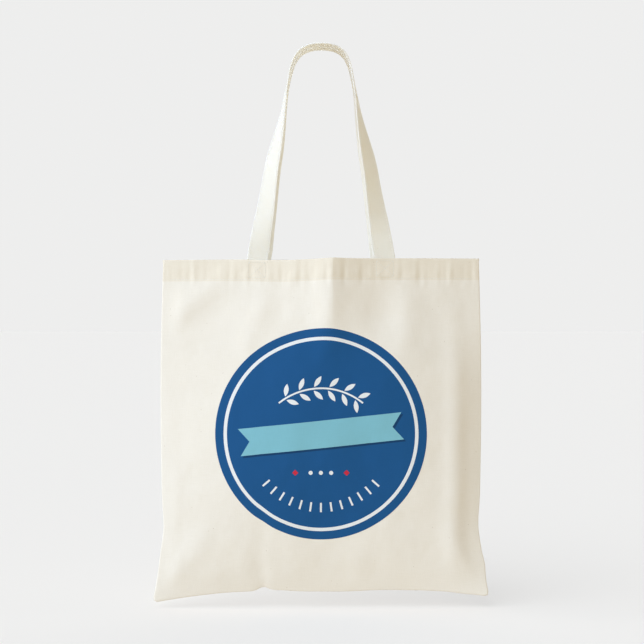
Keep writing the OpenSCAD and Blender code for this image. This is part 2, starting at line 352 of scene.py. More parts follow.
# ---- materials ----

WEAVE_PITCH = 0.55


def material(name, colour, roughness, build=None, sheen=0.0, specular=0.25):
    m = bpy.data.materials.new(name)
    m.use_nodes = True
    shader = m.node_tree.nodes["Principled BSDF"]
    shader.inputs["Base Color"].default_value = (*colour, 1)
    shader.inputs["Roughness"].default_value = roughness
    shader.inputs["Sheen Weight"].default_value = sheen
    shader.inputs["Sheen Roughness"].default_value = 0.5
    shader.inputs["Specular IOR Level"].default_value = specular
    if build:
        build(m.node_tree, shader, colour, roughness)
    return m


class Nodes:
    """Short names for the shader nodes that the cloth and ink materials are made of."""

    def __init__(self, tree):
        self.tree = tree

    def new(self, kind, **settings):
        node = self.tree.nodes.new(kind)
        for key, value in settings.items():
            setattr(node, key, value)
        return node

    def link(self, a, b):
        self.tree.links.new(a, b)

    def put(self, value, socket):
        if isinstance(value, bpy.types.NodeSocket):
            self.link(value, socket)
        else:
            socket.default_value = value

    def math(self, operation, a, b=0.0, c=0.0):
        node = self.new("ShaderNodeMath", operation=operation)
        for value, socket in zip((a, b, c), node.inputs):
            self.put(value, socket)
        return node.outputs[0]

    def mix(self, factor, a, b, blend="MIX"):
        node = self.new("ShaderNodeMix", data_type="RGBA", blend_type=blend)
        self.put(factor, node.inputs[0])
        self.put(a, node.inputs[6])
        self.put(b, node.inputs[7])
        return node.outputs[2]

    def cloth_uv(self):
        """The cloth's own coordinates in millimetres."""
        node = self.new("ShaderNodeUVMap", uv_map="cloth")
        scaled = self.new("ShaderNodeVectorMath", operation="SCALE")
        self.link(node.outputs[0], scaled.inputs[0])
        scaled.inputs["Scale"].default_value = 1000
        return scaled.outputs[0]

    def stretched(self, vector, sx, sy):
        node = self.new("ShaderNodeMapping")
        self.link(vector, node.inputs["Vector"])
        node.inputs["Scale"].default_value = (sx, sy, 1)
        return node.outputs[0]

    def noise(self, vector, scale, detail=2.0):
        node = self.new("ShaderNodeTexNoise")
        self.link(vector, node.inputs["Vector"])
        node.inputs["Scale"].default_value = scale
        node.inputs["Detail"].default_value = detail
        return node.outputs["Fac"]


def weave(n, vector, pitch):
    """Height of a plain weave: threads over and under, one each way in every pitch."""
    split = n.new("ShaderNodeSeparateXYZ")
    n.link(vector, split.inputs[0])
    wave = [n.math("SINE", n.math("MULTIPLY", split.outputs[k], math.pi / pitch)) for k in (0, 1)]
    over = n.math("MULTIPLY", wave[0], wave[1])
    ridge = [n.math("ABSOLUTE", w) for w in wave]
    up = n.math("GREATER_THAN", over, 0.0)
    warp = n.math("MULTIPLY", ridge[0], up)
    weft = n.math("MULTIPLY", ridge[1], n.math("SUBTRACT", 1.0, up))
    return n.math("ADD", warp, weft)


def slubs(n, vector):
    """Uneven yarn: streaks along both thread directions."""
    across = n.noise(n.stretched(vector, 0.07, 1.25), 1.0)
    down = n.noise(n.stretched(vector, 1.25, 0.07), 1.0)
    return n.math("MULTIPLY", n.math("ADD", across, down), 0.5)


def bumped(n, shader, height, distance, strength=1.0):
    node = n.new("ShaderNodeBump")
    node.inputs["Strength"].default_value = strength
    node.inputs["Distance"].default_value = distance
    n.put(height, node.inputs["Height"])
    n.link(node.outputs[0], shader.inputs["Normal"])


def cotton(tree, shader, colour, roughness, relief=0.00009, painted_hem_shade=False):
    n = Nodes(tree)
    vector = n.cloth_uv()
    streak = slubs(n, vector)
    threads = weave(n, vector, WEAVE_PITCH)
    blotch = n.noise(vector, 0.022, 3)
    pale = (*[min(1, c * 1.035) for c in colour], 1)
    deep = (*[c * k for c, k in zip(colour, (0.955, 0.945, 0.91))], 1)
    base = n.mix(n.math("MULTIPLY_ADD", streak, 1.6, -0.3), deep, pale)
    stain = n.math("MULTIPLY", n.math("SUBTRACT", blotch, 0.42), 0.5)
    base = n.mix(stain, base, (*[c * 0.9 for c in colour], 1))
    # painted shade: the hollows between the threads are darkened
    hollow_shade = n.math("MULTIPLY", n.math("SUBTRACT", 1.0, threads), 0.16)
    base = n.mix(hollow_shade, base, (*[c * 0.62 for c in colour], 1))
    specks = n.new("ShaderNodeTexVoronoi", feature="F1")
    n.link(n.stretched(vector, 1, 0.6), specks.inputs["Vector"])
    specks.inputs["Scale"].default_value = 0.16
    near = n.math("LESS_THAN", specks.outputs["Distance"], 0.055)
    chosen = n.new("ShaderNodeSeparateColor")
    n.link(specks.outputs["Color"], chosen.inputs[0])
    fleck = n.math("MULTIPLY", near, n.math("GREATER_THAN", chosen.outputs[0], 0.78))
    base = n.mix(n.math("MULTIPLY", fleck, 0.55), base, (0.42, 0.31, 0.18, 1))
    # painted shade: the hem band is multiplied darker and yellower, for the light that its three layers
    # keep from coming through
    if painted_hem_shade:
        up = n.new("ShaderNodeSeparateXYZ")
        n.link(vector, up.inputs[0])
        band = n.math("MULTIPLY_ADD", up.outputs[1], 1.0, 0.5 + HEM_H - BAG_H)
        band.node.use_clamp = True
        base = n.mix(band, base, (0.97, 0.945, 0.895, 1), "MULTIPLY")
    n.link(base, shader.inputs["Base Color"])
    height = n.math("ADD", n.math("MULTIPLY", threads, 0.45), n.math("MULTIPLY", streak, 1.3))
    bumped(n, shader, height, relief, 0.5)


def canvas(tree, shader, colour, roughness):
    """The bag's cloth. The hem is three layers deep, so less light comes through it; its colour is darkened
    there as painted shade.
    """
    cotton(tree, shader, colour, roughness, painted_hem_shade=True)


def strapping(tree, shader, colour, roughness):
    """The handles' cloth, which is thin and loose enough for light to come through it."""
    cotton(tree, shader, colour, roughness, 0.00001)
    shader.inputs["Subsurface Weight"].default_value = 1.0
    shader.inputs["Subsurface Radius"].default_value = (1.0, 0.95, 0.85)
    shader.inputs["Subsurface Scale"].default_value = 0.008


def ink(tree, shader, colour, roughness):
    n = Nodes(tree)
    vector = n.cloth_uv()
    threads = weave(n, vector, WEAVE_PITCH)
    streak = slubs(n, vector)
    thin = n.math("MULTIPLY", n.math("SUBTRACT", 1.0, threads), 0.10)
    worn = (*[c + (0.55 - c) * 0.16 for c in colour], 1)
    deep = (*[c * 0.9 for c in colour], 1)
    base = n.mix(n.math("MULTIPLY_ADD", streak, 1.3, -0.35), deep, (*colour, 1))
    base = n.mix(thin, base, worn)
    n.link(base, shader.inputs["Base Color"])
    n.link(n.math("MULTIPLY_ADD", threads, -0.12, roughness), shader.inputs["Roughness"])
    height = n.math("ADD", n.math("MULTIPLY", threads, 0.35), n.math("MULTIPLY", streak, 1.2))
    bumped(n, shader, height, 0.00010, 0.5)


def spun(tree, shader, colour, roughness):
    """Sewing thread: two plies twisted together."""
    n = Nodes(tree)
    vector = n.cloth_uv()
    split = n.new("ShaderNodeSeparateXYZ")
    n.link(vector, split.inputs[0])
    along, round_it = (n.math("MULTIPLY", split.outputs[k], rate) for k, rate in enumerate((9.0, 6.0)))
    turn = n.math("ADD", along, round_it)
    ply = n.math("MULTIPLY_ADD", n.math("SINE", turn), 0.5, 0.5)
    # painted shade: the grooves between the plies are darkened
    n.link(n.mix(ply, (*[c * 0.86 for c in colour], 1), (*colour, 1)), shader.inputs["Base Color"])
    bumped(n, shader, ply, 0.00008, 0.6)


CANVAS = material("canvas", (0.865, 0.80, 0.685), 0.88, canvas, sheen=0.12)
STRAP = material("strap", (0.74, 0.68, 0.58), 0.9, strapping, sheen=0.04, specular=0.1)
THREAD = material("thread", (0.87, 0.825, 0.72), 0.7, spun, sheen=0.1)
INKS = {
    "ink_blue": material("ink_blue", (0.010, 0.088, 0.235), 0.8, ink, specular=0.1),
    "ink_navy": material("ink_navy", (0.007, 0.048, 0.125), 0.8, ink, specular=0.1),
    "ink_aqua": material("ink_aqua", (0.225, 0.51, 0.57), 0.8, ink, specular=0.1),
    "ink_red": material("ink_red", (0.62, 0.028, 0.05), 0.8, ink, specular=0.1),
    "ink_white": material("ink_white", (0.84, 0.84, 0.80), 0.8, ink, specular=0.1),
}


def finished(obj, mat):
    obj.data.materials.append(mat)
    return obj


def hang(obj):
    """Bakes a half panel piece's transform into its mesh."""
    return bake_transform(obj)


SIDES = ("front", "back")
HALVES = ("left", "right")

# ---- the two panels ----

EDGE_R = 1.25  # the cloth turns in at the seams with this radius
FOLD_R = 0.575  # and over at the hem edge with this one
FOLD_DOWN = 2.4


def columns():
    """(u, angle turned round the seam edge) of each column, left to right."""
    inner = np.concatenate([np.linspace(-1, CREASE_U, 112), np.linspace(CREASE_U, 1, 98)[1:]])
    turn = np.radians([90, 60, 30])
    us = np.concatenate([[-1] * 3, inner, [1] * 3])
    angles = np.concatenate([turn, inner * 0, turn[::-1]])
    return us, angles, 3 + 111


def rows():
    """(v, angle round the bottom edge, angle over the hem edge, drop inside) of each row, upwards."""
    body = np.linspace(0, 1 - 34 / BAG_H, 142)
    sewn = np.linspace(1 - 34 / BAG_H, 1, 25)[1:]
    vs = np.concatenate([[0] * 3, body, sewn, [1] * 5])
    bottom = np.zeros(len(vs))
    bottom[:3] = np.radians([90, 60, 30])
    over = np.zeros(len(vs))
    over[-5:] = np.radians([45, 90, 135, 180, 180])
    drop = np.zeros(len(vs))
    drop[-1] = FOLD_DOWN
    return vs, bottom, over, drop


def panel_grid(back):
    us, side, split = columns()
    vs, bottom, over, drop = rows()
    u, v = np.meshgrid(us, vs)
    side, bottom = np.meshgrid(side, bottom)
    over, drop = (np.repeat(a[:, None], len(us), 1) for a in (over, drop))
    outer = cloth(u, v, back)
    inward = 1 if not back else -1
    outer[..., 0] += np.sign(u) * EDGE_R * np.sin(side)
    outer[..., 2] += -EDGE_R * np.sin(bottom) + FOLD_R * np.sin(over) - drop
    turned = EDGE_R * (1 - np.cos(side) * np.cos(bottom)) + FOLD_R * (1 - np.cos(over))
    outer[..., 1] += inward * turned
    du, dv = np.gradient(outer, axis=1), np.gradient(outer, axis=0)
    normal = unit(np.cross(du, dv)) * (-1 if back else 1)
    inner = outer - normal * CLOTH_T
    for grid, limit in ((outer, 0.04), (inner, 0.02)):
        y = grid[..., 1]
        grid[..., 1] = np.maximum(y, limit) if back else np.minimum(y, -limit)
    flat = np.stack([u * MOUTH_HALF + np.sign(u) * EDGE_R * side, v * BAG_H - EDGE_R * bottom], -1)
    flat[..., 1] += FOLD_R * over + drop
    return outer, inner, flat, split


def make_panels():
    made = {}
    for side in SIDES:
        back = side == "back"
        outer, inner, flat, split = panel_grid(back)
        for half, part in (("left", slice(0, split + 1)), ("right", slice(split, None))):
            obj = closed_sheet(f"{side}_panel_{half}", outer[:, part], inner[:, part], flat[:, part], back)
            finished(obj, CANVAS)
            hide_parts(f"{side}_panel")
            hang(obj)
            made[side, half] = obj
    return made


def make_hems():
    """The turned-in band of each hem, on the inside, with its lower edge folded under."""
    made = {}
    for side in SIDES:
        back = side == "back"
        for half in HALVES:
            us = np.linspace(-0.968, CREASE_U, 110) if half == "left" else np.linspace(CREASE_U, 0.968, 100)
            down = np.concatenate([[0.4, 0.7], np.linspace(2, HEM_H - 1.6, 12), [HEM_H - 0.6, HEM_H]])
            u, v = np.meshgrid(us, 1 - down[::-1] / BAG_H)
            point, normal, _ = cloth_frame(u, v, back)
            near = np.array([1.3, 1.2] + [1.2] * 12 + [0.8, 0.7])[::-1][:, None, None]
            far = np.array([1.4, 1.6] + [1.65] * 12 + [1.5, 0.95])[::-1][:, None, None]
            outer, inner = point - normal * near, point - normal * far
            uv = np.stack([u * MOUTH_HALF, v * BAG_H], -1)
            obj = closed_sheet(f"{side}_hem_{half}", outer, inner, uv, flip=back)
            finished(obj, CANVAS)
            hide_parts(f"{side}_hem")
            hang(obj)
            made[side, half] = obj
    return made


# ---- stitches ----

STITCH_PITCH = 3.1
ROW_INSET = 2.5  # from a strap's edge to its stitches


def stitch(at, along, out, length=2.5, thick=0.27):
    """One stitch: a short round bar with its ends dipping into the cloth."""
    side = unit(np.cross(out, along))
    ts = np.linspace(-1, 1, 7)
    ring = np.radians(np.arange(0, 360, 60))
    points, uvs = [], []
    for t in ts:
        r = thick * math.sqrt(max(0.04, 1 - abs(t) ** 3))
        middle = at + along * (t * length / 2) + out * (0.10 - 0.36 * t**4)
        for a in ring:
            points.append(middle + (side * math.cos(a) + out * math.sin(a) * 0.8) * r)
            uvs.append((t * length / 2, a * r))
    n = len(ring)
    faces = [[i * n + k, i * n + (k + 1) % n, (i + 1) * n + (k + 1) % n, (i + 1) * n + k]
             for i in range(len(ts) - 1) for k in range(n)]
    faces += [list(range(n))[::-1], [(len(ts) - 1) * n + k for k in range(n)]]
    return np.array(points), faces, np.array(uvs)


def cloth_row(start, end, pitch, back, lift=0.0):
    """Stitches on a side of the bag between two (x, z) points."""
    start, end = np.array(start, float), np.array(end, float)
    count = max(1, round(float(np.linalg.norm(end - start)) / pitch))
    t = (np.arange(count) + 0.5) / count
    at = start + (end - start) * t[:, None]
    u, v = uv_of(at[:, 0], at[:, 1])
    point, normal, _ = cloth_frame(u, v, back)
    ahead = on_front(*(at + (end - start) / count * 0.1).T, 0, back)
    along = unit(ahead - point)
    length = float(np.linalg.norm(end - start)) / count * 0.8
    return [stitch(p + n * lift, a, n, length) for p, a, n in zip(point, along, normal)]


def make_hem_stitches():
    reach, z = 178, HEM_Z - HEM_H + 2
    crease = CREASE_U * MOUTH_HALF
    for side in SIDES:
        for half, ends in (("left", (-reach, crease)), ("right", (crease, reach))):
            parts = cloth_row((ends[0], z), (ends[1], z), STITCH_PITCH, side == "back")
            obj = joined(f"{side}_hem_stitches_{half}", parts)
            finished(obj, THREAD)
            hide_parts(f"{side}_hem_stitching")
            hang(obj)


def make_box_stitches():
    """A square with a diagonal cross through each sewn handle end."""
    for side, spread in (("front", FRONT_SPREAD), ("back", BACK_SPREAD)):
        for half, sign in (("left", -1), ("right", 1)):
            x, r = sign * spread, STRAP_W / 2 - ROW_INSET
            top, low = HEM_Z - 2.5, HEM_Z - HEM_H + 4.5
            corners = [(x - r, low), (x + r, low), (x + r, top), (x - r, top)]
            lines = list(zip(corners, corners[1:] + corners[:1]))
            lines += [(corners[0], corners[2]), (corners[1], corners[3])]
            parts = [s for a, b in lines for s in cloth_row(a, b, 3.0, side == "back", 0.05)]
            obj = joined(f"{side}_box_stitches_{half}", parts)
            finished(obj, THREAD)
            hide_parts(f"{side}_box_stitching_{half}")
            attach(obj, f"{side}_panel")


# ---- handles ----

LEAN_X, LEAN_Z, SHOULDER_X = 0.45, 0.24, 0.77
STRAP_Y, TOP_Y = 16, 13.5  # a strap's middle at the hem and at its top, from the middle plane
FOLD_LIFT, FOLD_SPAN = 2, 13  # where above the hem a folding strap starts to bend, and over how much

SEWN_IN = CLOTH_T + LAYER_GAP + HEM_T + LAYER_GAP + STRAP_T / 2  # cloth's outer face to a strap's middle


def sewn(x, below, lift, back):
    """A point of a strap's sewn end, on the cloth's inside. lift is outwards from the strap's middle."""
    z = HEM_Z + np.minimum(below, -0.5)
    u, v = uv_of(x, z)
    point, normal, _ = cloth_frame(u, v, back)
    point = point - normal * (SEWN_IN - lift)[..., None]
    point[..., 2] += np.maximum(below + 0.5, 0)
    return point


def strap_path(spread, back):
    """[centre, across, outwards, distance] along a whole strap, from its left sewn end to its right one."""
    p = np.array([[-spread, HEM_Z + FOLD_LIFT], [-LEAN_X * spread, LEAN_Z * HEM_Z],
                  [-SHOULDER_X * spread, STRAP_T / 2], [0, STRAP_T / 2]])
    t = np.linspace(0, 1, 96)[:, None]
    c = (1 - t) ** 3 * p[0] + 3 * (1 - t) ** 2 * t * p[1] + 3 * (1 - t) * t**2 * p[2] + t**3 * p[3]
    slope = (1 - t) ** 2 * (p[1] - p[0]) + 2 * (1 - t) * t * (p[2] - p[1]) + t**2 * (p[3] - p[2])
    slope = unit(slope)
    rise = c[:, 1] - HEM_Z
    lean = slope[:, 0] * smooth((rise - FOLD_LIFT) / 25)
    climb = eased(rise, (0, 76, 124, 171, 214), (0, 0.45, 0.56, 0.86, 1))
    sewn_z = np.linspace(-END_H, 0, 14)
    y = STRAP_Y + (TOP_Y - STRAP_Y) * climb
    turn = np.pi / 2 * climb
    inward = unit(np.stack([slope[:, 1], 0 * lean, -lean], -1))
    front = np.array([0, -1.0, 0])
    across = inward * np.cos(turn)[:, None] + front * np.sin(turn)[:, None]
    out = front * np.cos(turn)[:, None] - inward * np.sin(turn)[:, None]
    centre = np.stack([c[:, 0], -y, c[:, 1]], -1)
    level = np.tile([1.0, 0, 0], (len(sewn_z), 1))
    ends = np.stack([0 * sewn_z - spread, 0 * sewn_z - STRAP_Y, HEM_Z + sewn_z], -1)
    centre = np.concatenate([ends, centre])
    across = np.concatenate([level, across])
    out = np.concatenate([np.tile(front, (len(sewn_z), 1)), out])
    mirror = np.array([-1.0, 1, 1])
    rows_of = [np.concatenate([a, a[-2::-1] * mirror]) for a in (centre, across, out)]
    if back:
        rows_of = [a * np.array([1.0, -1, 1]) for a in rows_of]
    centre, across, out = rows_of
    run = np.concatenate([[0], np.cumsum(np.linalg.norm(np.diff(centre, axis=0), axis=1))])
    centre = centre + loosened(run / run[-1], centre, out, back)
    return centre, across, out, run


def eased(x, at, values):
    """A smooth line near straight runs between a few chosen values."""
    spread = np.linspace(-12, 12, 9)
    return np.mean([np.interp(x + d, at, values) for d in spread], 0)


def loosened(s, centre, out, back):
    """Small unevenness of a cloth strap: none where it is sewn or where it meets the hook."""
    rise = centre[:, 2] - HEM_Z
    free = smooth((rise - 8) / 40)
    heights = (12, 30, 50, 110, 140, 170, 215, 240, 251)
    apart = eased(rise, heights, (0, 1, 1, 2, -0.5, -2.7, -2.8, -0.8, 0))
    apart = apart + (1.2 * smooth(rise / 60) * smooth((230 - rise) / 40) if back else 0)
    seed = 91 if back else 81
    wave = 0.5 * noise(s * 640, s * 0, 70, seed) * free
    bulge = 0.8 * bump(s, 0.56, 0.03) - 0.5 * bump(s, 0.44, 0.025)
    shift = out * wave[:, None] + np.array([0, 0, 1.0]) * bulge[:, None] * (0.3 if back else 1)
    shift[:, 0] += np.sign(centre[:, 0]) * apart
    return shift


def strap_section(t):
    """(place across, place outwards) round a folded strap of unit half width, rounded at its edges."""
    face = np.linspace(-0.955, 0.955, 17)
    edge = np.radians(np.array([60, 30, 0, -30, -60]))
    r = t / 2
    reach = r * 1.3 / (STRAP_W / 2)
    nose = [(1 - reach + reach * math.cos(a), r * math.sin(a)) for a in edge]
    outer = [(x, r) for x in face]
    inner = [(x, -r) for x in face[::-1]]
    other = [(-x, -y) for x, y in nose]
    return np.array(outer + nose + inner + other)


def on_strap(strap, at, across_by, out_by):
    """Points on a strap, at those distances along it and with those offsets across and outwards."""
    side, spread, centre, across, out, run = strap
    back = side == "back"
    seed = 95 if back else 85
    c, a, o = (np.stack([np.interp(at, run, line) for line in q.T], -1) for q in (centre, across, out))
    px = across_by * (1 + 0.012 * noise(at, at * 0, 38, seed))[:, None]
    px = px + 0.25 * noise(at, at * 0, 55, seed + 1)[:, None]
    free = smooth((c[:, 2] - HEM_Z - 4) / 30)[:, None]
    cup = 0.5 * noise(at, at * 0, 90, seed + 3)[:, None] * ((px / (STRAP_W / 2)) ** 2 - 0.4) * free
    py = out_by + cup
    points = c[:, None] + a[:, None] * px[..., None] + o[:, None] * py[..., None]
    below = c[:, 2] - HEM_Z
    for end in (-1, 1):
        near = (below < 30) & (np.sign(c[:, 0]) == end)
        level = np.repeat(np.minimum(below[near], 3)[:, None], px.shape[1], 1)
        held = sewn(end * spread - end * px[near], level, py[near], back)
        held[..., 0] += (c[near, 0] - end * spread)[:, None]
        held[..., 2] += points[near][..., 2] - HEM_Z - level
        share = smooth(1 - (below[near] - 2) / 28)[:, None, None]
        points[near] = points[near] * (1 - share) + held * share
    return points


def make_straps():
    for side, spread in (("front", FRONT_SPREAD), ("back", BACK_SPREAD)):
        back = side == "back"
        centre, across, out, run = strap_path(spread, back)
        strap = (side, spread, centre, across, out, run)
        section = strap_section(STRAP_T)
        n, m = len(centre), len(section)
        px = np.repeat(section[None, :, 0] * STRAP_W / 2, n, 0)
        face = np.sign(section[None, :, 1])
        groove = 0.16 * bump(np.abs(px), STRAP_W / 2 - ROW_INSET, 0.7)
        swell = 0.06 * noise(px * 0.9 + 50, run[:, None] + 0 * px, 9, 97)
        points = on_strap(strap, run, px, section[None, :, 1] + face * (swell - groove))
        uv = np.stack([px + 40 * (face < 0), run[:, None] + 0 * px], -1)
        i, k = np.meshgrid(np.arange(n - 1), np.arange(m), indexing="ij")
        a, b = (i * m + k).ravel(), (i * m + (k + 1) % m).ravel()
        quads = np.stack([a, b, b + m, a + m], -1)
        caps = [list(range(m)), [(n - 1) * m + q for q in range(m)][::-1]]
        if back:
            quads, caps = quads[:, ::-1], [c[::-1] for c in caps]
        faces = quads.tolist() + caps
        obj = make_object(f"{side}_strap", points.reshape(-1, 3), faces, uv.reshape(-1, 2), sharp=60)
        finished(obj, STRAP)
        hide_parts(f"{side}_handle", f"{side}_handle_end_left", f"{side}_handle_end_right")
        fold_over(obj)
        rows_on_strap(strap)


def fold_over(obj):
    """Bakes a strap piece's transform into its mesh."""
    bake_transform(obj)


def rows_on_strap(strap):
    """A row of stitches along each edge of a strap, above the hem."""
    side, _, centre, _, _, run = strap
    first = run[np.argmax(centre[:, 2] > HEM_Z + 3)]
    at = np.arange(first + 1.5, run[-1] - first - 1.5, STITCH_PITCH)
    row = np.array([[-1.0, 1.0]]) * (STRAP_W / 2 - ROW_INSET) + 0 * at[:, None]
    face = STRAP_T / 2 - 0.14 + 0 * row
    spot = on_strap(strap, at, row, face)
    along = unit(on_strap(strap, at + 0.5, row, face) - on_strap(strap, at - 0.5, row, face))
    lift = unit(on_strap(strap, at, row, face + 0.5) - spot)
    places = zip(spot.reshape(-1, 3), along.reshape(-1, 3), lift.reshape(-1, 3))
    obj = joined(f"{side}_strap_stitches", [stitch(p, a, n, 2.4, 0.26) for p, a, n in places])
    finished(obj, THREAD)
    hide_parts(f"{side}_handle_stitching")
    fold_over(obj)


# ---- seam allowances and their overlock thread, inside the bag ----


def seam_line(kind, inset):
    """Points along a side or the bottom of the bag in the middle plane, that far in from the edge."""
    if kind == "bottom":
        u = np.linspace(-0.95, 0.95, 150)
        edge = cloth(u, np.zeros_like(u))
        edge[:, 2] += inset
    else:
        sign = 1 if kind == "right" else -1
        v = 0.04 + 0.955 * np.linspace(0, 1, 150)
        edge = cloth(sign * np.ones_like(v), v)
        edge[:, 0] -= sign * inset
    edge[:, 1] = 0
    return edge


def seam_wave(points):
    """How far a seam allowance's raw edge waves out of the middle plane."""
    return 0.35 * noise(points[..., 0], points[..., 2], 16, 61)


def make_seams():
    for kind in ("left", "right", "bottom"):
        rows_in = np.array([0.6, 1.5, 3, 4.5, 6, 7.2, SEAM_REACH])
        lines = np.stack([seam_line(kind, r) for r in rows_in])
        wave = seam_wave(lines) * (rows_in[:, None] / SEAM_REACH)
        half_t = 0.5 * np.clip(0.55 + rows_in / 2.2, 0, 1) * np.where(rows_in > 7.8, 0.85, 1)
        front, behind = lines.copy(), lines.copy()
        front[..., 1] = wave - half_t[:, None]
        behind[..., 1] = wave + half_t[:, None]
        along = np.linspace(0, 380, 150)[None, :] + 0 * rows_in[:, None]
        uv = np.stack([along, rows_in[:, None] + 0 * along], -1)
        name = "bottom_seam" if kind == "bottom" else f"{kind}_side_seam"
        obj = closed_sheet(f"{name}_allowance", front, behind, uv, flip=kind == "left")
        finished(obj, CANVAS)
        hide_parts(name)
        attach(obj, "bag_seams")
        overlock(kind)


def tube(path, r, sides=5):
    """(points, faces, uvs) of a thin round tube along a path."""
    ahead = unit(np.gradient(path, axis=0))
    hint = np.array([0.31, 0.87, 0.38])
    a = unit(np.cross(ahead, hint))
    b = np.cross(ahead, a)
    angle = np.linspace(0, 2 * math.pi, sides, endpoint=False)
    ring = a[:, None] * np.cos(angle)[None, :, None] + b[:, None] * np.sin(angle)[None, :, None]
    points = (path[:, None] + ring * r).reshape(-1, 3)
    run = np.concatenate([[0], np.cumsum(np.linalg.norm(np.diff(path, axis=0), axis=1))])
    uv = np.stack([np.repeat(run, sides), np.tile(angle * r, len(path))], -1)
    i, k = np.meshgrid(np.arange(len(path) - 1), np.arange(sides), indexing="ij")
    q, w = (i * sides + k).ravel(), (i * sides + (k + 1) % sides).ravel()
    faces = np.stack([q, w, w + sides, q + sides], -1).tolist()
    faces += [list(range(sides))[::-1], [(len(path) - 1) * sides + k for k in range(sides)]]
    return points, faces, uv


def overlock(kind):
    """Thread looped round the raw edge: a zigzag on both faces and a bead along the edge."""
    line = seam_line(kind, SEAM_REACH)
    run = np.concatenate([[0], np.cumsum(np.linalg.norm(np.diff(line, axis=0), axis=1))])
    loops = int(run[-1] / 2.6)
    t = np.linspace(0, loops, loops * 8 + 1)
    s = run[-1] * t / loops
    at = np.stack([np.interp(s, run, line[:, k]) for k in range(3)], -1)
    into = np.array({"bottom": (0, 0, -1.0), "left": (-1.0, 0, 0), "right": (1.0, 0, 0)}[kind])
    wave = seam_wave(at)
    swing = np.cos(2 * math.pi * t)
    lean = np.sin(2 * math.pi * t)
    path = at + into * (1.1 - 1.7 * swing)[:, None]
    path[:, 1] = wave + 0.75 * lean
    edge = at - into * 0.25
    edge[:, 1] = wave + 0.12 * np.sin(2 * math.pi * t)
    obj = joined(f"{kind}_overlock", [tube(path, 0.22), tube(edge[::4], 0.32)])
    finished(obj, THREAD)
    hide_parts(f"{kind}_overlock_thread")
    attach(obj, "bag_seams")


# ---- the round print ----

INK_LIFT = {"base": 0.12, "middle": 0.21, "top": 0.3}
TILT = math.radians(6)


def film(rows_of_points, level, sink=0.1):
    """(points, faces, uvs) of a thin closed film, from rows of (x, z) points round the badge's centre."""
    flat = np.asarray(rows_of_points, float)
    x, z = flat[..., 0], BADGE_Z + flat[..., 1]
    u, v = uv_of(x, z)
    point, normal, _ = cloth_frame(u, v)
    top, under = point + normal * INK_LIFT[level], point - normal * sink
    r, c = top.shape[:2]
    a, b = flat[1, 0] - flat[0, 0], flat[0, 1] - flat[0, 0]
    flip = b[0] * a[1] - b[1] * a[0] < 0
    sides = [grid_faces(r, c, 0, flip), grid_faces(r, c, r * c, not flip), rim_faces(r, c, flip)]
    faces = np.concatenate(sides)
    uv = np.stack([x, z - HEM_Z + BAG_H], -1).reshape(-1, 2)
    points = np.concatenate([top.reshape(-1, 3), under.reshape(-1, 3)])
    return points, faces, np.concatenate([uv, uv])


def ink_piece(name, parts, slot, node, half=None):
    obj = joined(name, parts, sharp=50)
    finished(obj, INKS[slot])
    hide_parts(node)
    if half:
        hang(obj)
    else:
        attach(obj, "front_panel")
    return obj


def polar(radii, first, last, count):
    """Rows of points round the badge's centre, one row for each radius. Angles are in degrees from +X."""
    angle = np.radians(np.linspace(first, last, count))
    return [[(r * math.cos(a), r * math.sin(a)) for a in angle] for r in radii]


def placed(points, at, angle):
    """Points turned by an angle in degrees and moved to a place."""
    c, s = math.cos(math.radians(angle)), math.sin(math.radians(angle))
    p = np.asarray(points, float)
    return np.stack([p[..., 0] * c - p[..., 1] * s + at[0], p[..., 0] * s + p[..., 1] * c + at[1]], -1)


def leaf(length, width):
    """A pointed leaf as a grid of points."""
    t = np.linspace(-1, 1, 15)
    half = width / 2 * (1 - t**2)
    return np.stack([np.stack([t * length / 2, half * k], -1) for k in (-1, -0.33, 0.33, 1)])


def rectangle(width, height, cols, rows_):
    across, up = np.linspace(-0.5, 0.5, cols) * width, np.linspace(-0.5, 0.5, rows_) * height
    return np.stack(np.meshgrid(across, up), -1)


def round_patch(r, n=9):
    """A disc as a square grid of points, for a small dot."""
    a, b = np.meshgrid(np.linspace(-1, 1, n), np.linspace(-1, 1, n))
    return np.stack([a * np.sqrt(1 - b**2 / 2), b * np.sqrt(1 - a**2 / 2)], -1) * r


def ribbon(half, shift):
    """One half of the tilted band with its swallow-tail end."""
    width, height, tail = 96, 32, 12
    plain = width - 18
    sign = 1 if half == "right" else -1
    along = np.concatenate([np.linspace(0, plain, 34), np.linspace(plain, width, 12)[1:]])
    near = np.clip((along - plain) / (width - plain), 0, 1)
    rows_ = []
    for k in np.linspace(-1, 1, 15):
        x = sign * (along - tail * (1 - abs(k)) * near)
        rows_.append(np.stack([x, 0 * x + k * height / 2], -1))
    return placed(np.stack(rows_), shift, math.degrees(TILT))


